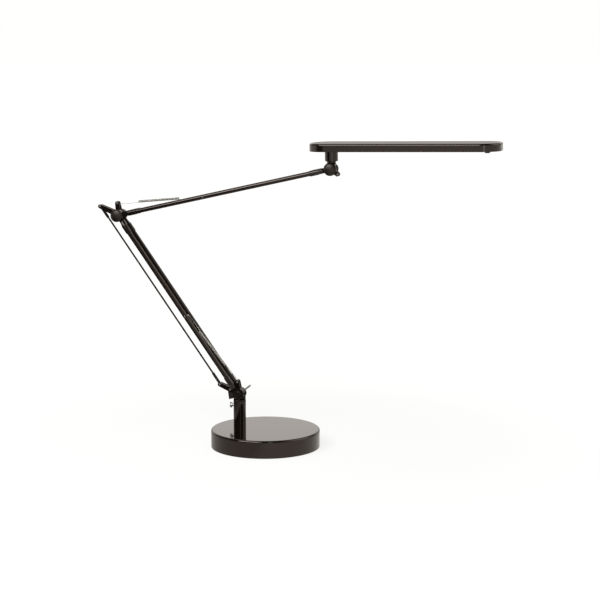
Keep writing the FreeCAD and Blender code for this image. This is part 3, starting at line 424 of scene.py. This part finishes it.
def swept_wire(path, radius, sides):
    """A round wire along a line of points, closed at both ends."""
    form = bmesh.new()
    rings = []
    side = (path[1] - path[0]).orthogonal().normalized()
    for i, point in enumerate(path):
        heading = (path[min(i + 1, len(path) - 1)] - path[max(i - 1, 0)]).normalized()
        side = (side - heading * side.dot(heading)).normalized()
        other = heading.cross(side)
        ring = []
        for k in range(sides):
            angle = math.tau * k / sides
            offset = (side * math.cos(angle) + other * math.sin(angle)) * radius
            ring.append(form.verts.new(point + offset))
        rings.append(ring)
    for ring, following in zip(rings, rings[1:]):
        wall(form, ring, following)
    form.faces.new(reversed(rings[0]))
    form.faces.new(rings[-1])
    return form


# Springs: wound wire from a hook on an ear pin to a hook on a cross pin

WIRE = 0.8 * MM
WIRE_SIDES = 8
COIL_RADIUS = 1.7 * MM
COIL_LENGTH = 76.8 * MM
COIL_TURNS = 92
STEPS_PER_TURN = 18
LOWER_LEAD = 36 * MM
UPPER_LEAD = 40 * MM
HOOK_RADIUS = 2.1 * MM
HOOK_ANGLE = math.radians(250)
HOOK_STEPS = 24
HOOK_BEND = 0.6 * MM
TAB = Vector((-3.2, 0, 21)) * MM


def hook(centre, start, end):
    """Points on a hook's circle about an axis across the arm."""
    for i in range(HOOK_STEPS + 1):
        angle = start + (end - start) * i / HOOK_STEPS
        yield centre + Vector((math.cos(angle), 0, math.sin(angle))) * HOOK_RADIUS


def spring_path(lead, length):
    """Centre line of the wire, from a hook round the origin to a hook at length along +Z."""
    shift = Vector((0, HOOK_BEND, 0))
    pitch = COIL_LENGTH / COIL_TURNS
    points = list(hook(-shift, -HOOK_ANGLE, 0))
    points.append(Vector((COIL_RADIUS, -HOOK_BEND, lead - 3 * HOOK_BEND)))
    steps = STEPS_PER_TURN * COIL_TURNS
    for i in range(steps + 1):
        angle = math.tau * COIL_TURNS * i / steps
        out, across = COIL_RADIUS * math.cos(angle), COIL_RADIUS * math.sin(angle)
        points.append(Vector((out, across, lead + pitch * angle / math.tau)))
    points.append(Vector((COIL_RADIUS, HOOK_BEND, lead + COIL_LENGTH + 3 * HOOK_BEND)))
    points += hook(Vector((0, 0, length)) + shift, 0, HOOK_ANGLE)
    return points


def wind_spring(arm, pivot, lead):
    """A tension spring hooked to the bracket and to the arm's cross pin, as it lies at rest."""
    node = f"{arm}_spring"
    pin_low, pin_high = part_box(f"{arm}_cross_pin")
    tab = Vector(joint[pivot]["pos_m"]) + TAB
    reach = (pin_low + pin_high) / 2 - tab
    along = reach.normalized()
    turn = Matrix((ACROSS.cross(along), ACROSS, along)).transposed()
    path = [tab + turn @ point for point in spring_path(lead, reach.length)]
    spring = add_piece(f"wound_{node}", swept_wire(path, WIRE / 2, WIRE_SIDES), wire_steel)
    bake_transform(spring)
    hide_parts(node)


# Clamping knobs

KNOBS = ("elbow_knob", "tilt_knob")
BOLT_BORE = 3.05 * MM
KNOB_BORE_DEPTH = 6.5 * MM
KNOB_RIM = 3.2 * MM
KNOB_EASE = 0.5 * MM
DOME_STEPS = 20
KNOB_SIDES = 72


def domed_knob(node):
    """A knob with a rounded rim and a domed face, turned about the axis across the arm."""
    low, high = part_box(node)
    centre = (low + high) / 2
    radius = (high.x - low.x) / 2
    dome = high.y - low.y - KNOB_RIM
    profile = [(BOLT_BORE, KNOB_BORE_DEPTH), (BOLT_BORE, 0), (radius - KNOB_EASE, 0)]
    profile.append((radius, KNOB_EASE))
    for i in range(DOME_STEPS):
        angle = math.pi / 2 * i / DOME_STEPS
        profile.append((radius * math.cos(angle), KNOB_RIM + dome * math.sin(angle)))
    form = bmesh.new()

    def corner(along, u=0, v=0):
        return form.verts.new((centre.x + u, high.y - along, centre.z + v))

    rings = []
    for out, along in profile:
        rings.append([corner(along, u, v) for u, v in circle(out, KNOB_SIDES)])
    for first, second in zip(rings, rings[1:]):
        wall(form, first, second)
    fan(form, rings[0], corner(KNOB_BORE_DEPTH))
    fan(form, rings[-1], corner(KNOB_RIM + dome))
    bmesh.ops.recalc_face_normals(form, faces=form.faces)
    knob = add_piece(f"domed_{node}", form, finish_of(node))
    keep_flats_flat(knob.data)
    stand_for(knob, node)


# Screws under the head, in millimetres in the head's own frame about the tilt pivot

HEAD_TILT = math.radians(-1.19)
SCREW_PLACES = ((-14, 23.5), (-14, -23.5), (272, 23.5), (272, -23.5))
SCREW_FACE = 31.4
SCREW_SEAT = 32.6
SCREW_END = 38.9
SCREW_HEAD_RADIUS = 2.5
SCREW_SHANK_RADIUS = 1.3
SCREW_EASE = 0.3
SCREW_SIDES = 40
CROSS_DEPTH = 0.7
CROSS_REACH = 1.5
CROSS_HALF_WIDTH = 0.35


def cross():
    """Outline of the recess."""
    reach, side = CROSS_REACH, CROSS_HALF_WIDTH
    quarter = [(reach, -side), (reach, side), (side, side)]
    half = quarter + [(-v, u) for u, v in quarter]
    return half + [(-u, -v) for u, v in half]


def add_screw(form, x, y):
    """A screw with a cross recess in its head, which faces down."""
    pivot = Vector(joint["head_tilt"]["pos_m"])
    tilt = Matrix.Rotation(HEAD_TILT, 3, "Y")

    def ring(level, points):
        corners = [Vector((x + u, y + v, level)) for u, v in points]
        return [form.verts.new(pivot + tilt @ corner * MM) for corner in corners]

    face = ring(SCREW_FACE, circle(SCREW_HEAD_RADIUS - SCREW_EASE, SCREW_SIDES))
    mouth = ring(SCREW_FACE, cross())
    floor = ring(SCREW_FACE + CROSS_DEPTH, cross())
    rings = [
        face,
        ring(SCREW_FACE + SCREW_EASE, circle(SCREW_HEAD_RADIUS, SCREW_SIDES)),
        ring(SCREW_SEAT, circle(SCREW_HEAD_RADIUS, SCREW_SIDES)),
        ring(SCREW_SEAT, circle(SCREW_SHANK_RADIUS, SCREW_SIDES)),
        ring(SCREW_END, circle(SCREW_SHANK_RADIUS, SCREW_SIDES)),
    ]
    for first, second in zip(rings, rings[1:]):
        wall(form, first, second)
    wall(form, mouth, floor)
    form.faces.new(floor)
    form.faces.new(rings[-1])
    rims = []
    for rim in (face, mouth):
        rims += [form.edges.get((rim[i - 1], rim[i])) for i in range(len(rim))]
    bmesh.ops.triangle_fill(form, use_beauty=True, use_dissolve=False, edges=rims)


def recessed_screws(node):
    form = bmesh.new()
    for x, y in SCREW_PLACES:
        add_screw(form, x, y)
    bmesh.ops.recalc_face_normals(form, faces=form.faces)
    screws = add_piece(f"recessed_{node}", form, finish_of(node))
    keep_flats_flat(screws.data)
    stand_for(screws, node)


# Edges: radius in millimetres, and the solids that have it

EASED = {
    0.25: [
        "post_bush",
        "lower_plate_front",
        "lower_plate_back",
        "elbow_plate_front",
        "elbow_plate_back",
        "lower_ear_pins",
        "elbow_ear_pins",
        "lower_cross_pin",
        "upper_cross_pin",
        "head_tray",
        "power_inlet",
    ],
    0.4: [
        "base_cover",
        "base_pad",
        "post_tube",
        "swivel_head",
        "tilt_plate_front",
        "tilt_plate_back",
        "neck_block",
        "neck_collar",
        "head_cover",
        "link_eye_lower",
        "link_eye_upper",
        "lower_bolt",
        "elbow_bolt",
        "tilt_bolt",
        "stop_rivet",
    ],
    0.6: [
        "lower_foot_front",
        "lower_foot_back",
        "lower_top_front",
        "lower_top_back",
        "upper_heel_front",
        "upper_heel_back",
        "upper_tip_front",
        "upper_tip_back",
        "stop_block",
        "post_wing_screw",
        "lower_wing_nut",
    ],
}
HEAD_SCREWS = "head_screws"


def dress_solids():
    """Puts the finer pieces in place of their solids, and a finish on the solids that stay."""
    for node in KNOBS:
        domed_knob(node)
    recessed_screws(HEAD_SCREWS)
    replaced = {*KNOBS, HEAD_SCREWS}
    for radius, members in EASED.items():
        for node in members:
            eased(node, radius)
        replaced.update(members)
    for node, solid in frame["nodes"].items():
        if node not in replaced:
            for place in solid.material_slots:
                place.material = finish_of(node)


# Camera

VIEW_AZIMUTH = math.radians(16.5)
VIEW_PITCH = math.radians(9.13)
VIEW_PLACE = Vector((880.4, -2760.1, 723.6)) * MM
FOCAL_LENGTH = 102
SENSOR_WIDTH = 36
CLIP_END = 100
RIGHT = Vector((math.cos(VIEW_AZIMUTH), math.sin(VIEW_AZIMUTH), 0))
AWAY = Vector((-math.sin(VIEW_AZIMUTH), math.cos(VIEW_AZIMUTH), 0))


def set_camera():
    camera = bpy.data.objects.new("camera", bpy.data.cameras.new("camera"))
    camera.data.lens = FOCAL_LENGTH
    camera.data.sensor_width = SENSOR_WIDTH
    camera.data.sensor_fit = "HORIZONTAL"
    camera.data.clip_end = CLIP_END
    camera.location = VIEW_PLACE
    camera.rotation_euler = (math.pi / 2 - VIEW_PITCH, 0, VIEW_AZIMUTH)
    bpy.context.scene.collection.objects.link(camera)
    bpy.context.scene.camera = camera


# Room, as the gloss mirrors it. Pairs are where a part of it begins and is full.

WHITE = colour(1, 1, 0.985)
WARM = colour(1, 0.955, 0.9)
AMBIENT = colour(0.3, 0.3, 0.3)
FLAG_TURN = math.radians(55)
FLAG_WAY = -AWAY * math.cos(FLAG_TURN) - RIGHT * math.sin(FLAG_TURN)
FLAG_EDGE = (0.9, 0.95)
COVE_TOP = (0.02, 0.14)
COVE_DROP = 0.9
SWEEP_EDGE = (0.55, 0.85)
SWEEP_RISE = (0.06, 0.22)
SWEEP_LOW = 0.45
SWEEP_GAIN = 0.85
SOFTBOX_WAY = Vector((0.8, 0.2, 0.56))
SOFTBOX_EDGE = (0.8, 0.97)
SOFTBOX_LEVEL = 2.0


def seen_rays(shader):
    """1 for what the camera sees straight, and 1 for what it sees mirrored or through glass."""
    direct = shader.node("ShaderNodeLightPath", out="Is Camera Ray")
    mirrored = shader.node("ShaderNodeLightPath", out="Is Glossy Ray")
    through = shader.node("ShaderNodeLightPath", out="Is Transmission Ray")
    return direct, mirrored.larger(through)


def flag_shade(shader, way):
    """1 towards the black flag in front on the left, 0 elsewhere."""
    return shader.between(shader.dot(way, FLAG_WAY), *FLAG_EDGE)


def set_room():
    """A white cove with a black flag, a sweep behind that brightens upwards, and a softbox."""
    world = bpy.data.worlds.new("studio")
    bpy.context.scene.world = world
    world.use_nodes = True
    room = Shader(world.node_tree)
    way = room.node("ShaderNodeTexCoord", out="Generated")
    height = room.dot(way, UP)
    behind = room.between(room.dot(way, AWAY), *SWEEP_EDGE)
    low = 1 - COVE_DROP * room.between(height, *COVE_TOP)
    cove = (1 - flag_shade(room, way)) * low * (1 - behind)
    sweep = behind * (SWEEP_LOW + SWEEP_GAIN * room.between(height, *SWEEP_RISE))
    softbox = room.between(room.dot(way, SOFTBOX_WAY), *SOFTBOX_EDGE) * SOFTBOX_LEVEL
    mirror = room.scaled(WARM, cove + sweep + softbox)
    direct, mirrored = seen_rays(room)
    shown = room.mix(direct, room.mix(mirrored, AMBIENT, mirror), WHITE)
    background = room.node("ShaderNodeBackground", values={"Color": shown, "Strength": 1.0})
    room.node("ShaderNodeOutputWorld", values={"Surface": background})


# Floor, with a painted reflection that the gloss mirrors in place of the lit floor: a pale patch
# under the lamp, painted darker on the left as the base's shadow, the far floor and a strip in front on the right.
# Lengths are in metres.

FLOOR_SIZE = 30
FLOOR_LEVEL = -0.0002
FLOOR_GLOW = 1.05
FLOOR_DARK = 0.04
SHADOW_FADE = (0.25, 0.8)
SHADOW_WHITE = 0.8
# Painted reflection: a bright patch under the lamp, painted darker on the left as the base's shadow.
GLOW_PATCH_EDGE = (0.2, 0.42)
GLOW_PATCH_SHADE_STEP = (-0.05, 0.02)
GLOW_PATCH_SHADED_LEFT = 0.62
GLOW_PATCH_GAIN = 0.3
FAR_EDGE = (1.2, 2.2)
APRON_SIDE = (-0.1, 0.2)
APRON_FRONT = (0, 0.2)
APRON_SLANT = 0.7
APRON_LEVEL = 0.7


def lay_floor():
    """A pale floor that is white to the camera and keeps a soft shadow; the gloss sees a painted reflection on it.
    """
    finish = Finish("pale_floor")
    fibre = finish.noise(per_metre=14, detail=3)
    ground = finish.mix(fibre, colour(0.86, 0.855, 0.845), colour(0.89, 0.885, 0.875))
    diffuse = finish.node("ShaderNodeBsdfDiffuse", values={"Color": ground})
    glow = finish.node("ShaderNodeEmission", values={"Color": WHITE, "Strength": FLOOR_GLOW})
    distance = finish.vector("LENGTH", {0: finish.place}, 1)
    way = finish.vector("NORMALIZE", {0: finish.place})
    ahead = finish.dot(finish.place, -AWAY)
    aside = finish.dot(finish.place, RIGHT)
    white = SHADOW_WHITE + (1 - SHADOW_WHITE) * finish.between(distance, *SHADOW_FADE)
    # Painted reflection: bright near the lamp, with painted shade on the left standing for the base's shadow.
    near = 1 - finish.between(distance, *GLOW_PATCH_EDGE)
    painted_glow_patch = near * (GLOW_PATCH_SHADED_LEFT + GLOW_PATCH_GAIN * finish.between(aside, *GLOW_PATCH_SHADE_STEP))
    far = finish.between(distance, *FAR_EDGE) * (1 - flag_shade(finish, way))
    slanted = finish.between(aside + ahead * APRON_SLANT, *APRON_SIDE)
    apron = slanted * finish.between(ahead, *APRON_FRONT) * APRON_LEVEL
    # Only the gloss sees this painted reflection, in place of the lit floor.
    painted_reflection = finish.scaled(WARM, FLOOR_DARK + painted_glow_patch.larger(far.larger(apron)))
    gloss = finish.node("ShaderNodeEmission", values={"Color": painted_reflection, "Strength": 1.0})
    direct, mirrored = seen_rays(finish)
    shown = finish.node("ShaderNodeMixShader", values={0: direct * white, 1: diffuse, 2: glow})
    mixed = finish.node("ShaderNodeMixShader", values={0: mirrored, 1: shown, 2: gloss})
    finish.node("ShaderNodeOutputMaterial", values={"Surface": mixed})
    form = bmesh.new()
    bmesh.ops.create_grid(form, x_segments=2, y_segments=2, size=FLOOR_SIZE)
    floor = add_piece("floor", form, finish.material)
    floor.location.z = FLOOR_LEVEL


# Lamps, in metres and watts

LAMP_TARGET = Vector((0, 0, 0.3))
TOP_PLACE = LAMP_TARGET + UP * 1.25 - AWAY * 1.15 - RIGHT * 0.95
STRIP_PLACE = LAMP_TARGET - AWAY * 2.2 + RIGHT * 0.45 + UP * 0.55


def hang_lamp(name, place, width, height, power):
    light = bpy.data.lights.new(name, "AREA")
    light.shape = "RECTANGLE"
    light.size = width
    light.size_y = height
    light.energy = power
    lamp = bpy.data.objects.new(name, light)
    lamp.location = place
    lamp.rotation_euler = (LAMP_TARGET - place).to_track_quat("-Z", "Y").to_euler()
    bpy.context.scene.collection.objects.link(lamp)


def main():
    bpy.context.scene.view_settings.view_transform = "Standard"
    set_camera()
    set_room()
    lay_floor()
    hang_lamp("top_softbox", TOP_PLACE, width=1.5, height=1.1, power=40)
    hang_lamp("strip_softbox", STRIP_PLACE, width=0.35, height=1.3, power=2.5)
    dress_solids()
    wind_spring("lower", "lower_lift", LOWER_LEAD)
    wind_spring("upper", "upper_lift", UPPER_LEAD)


main()
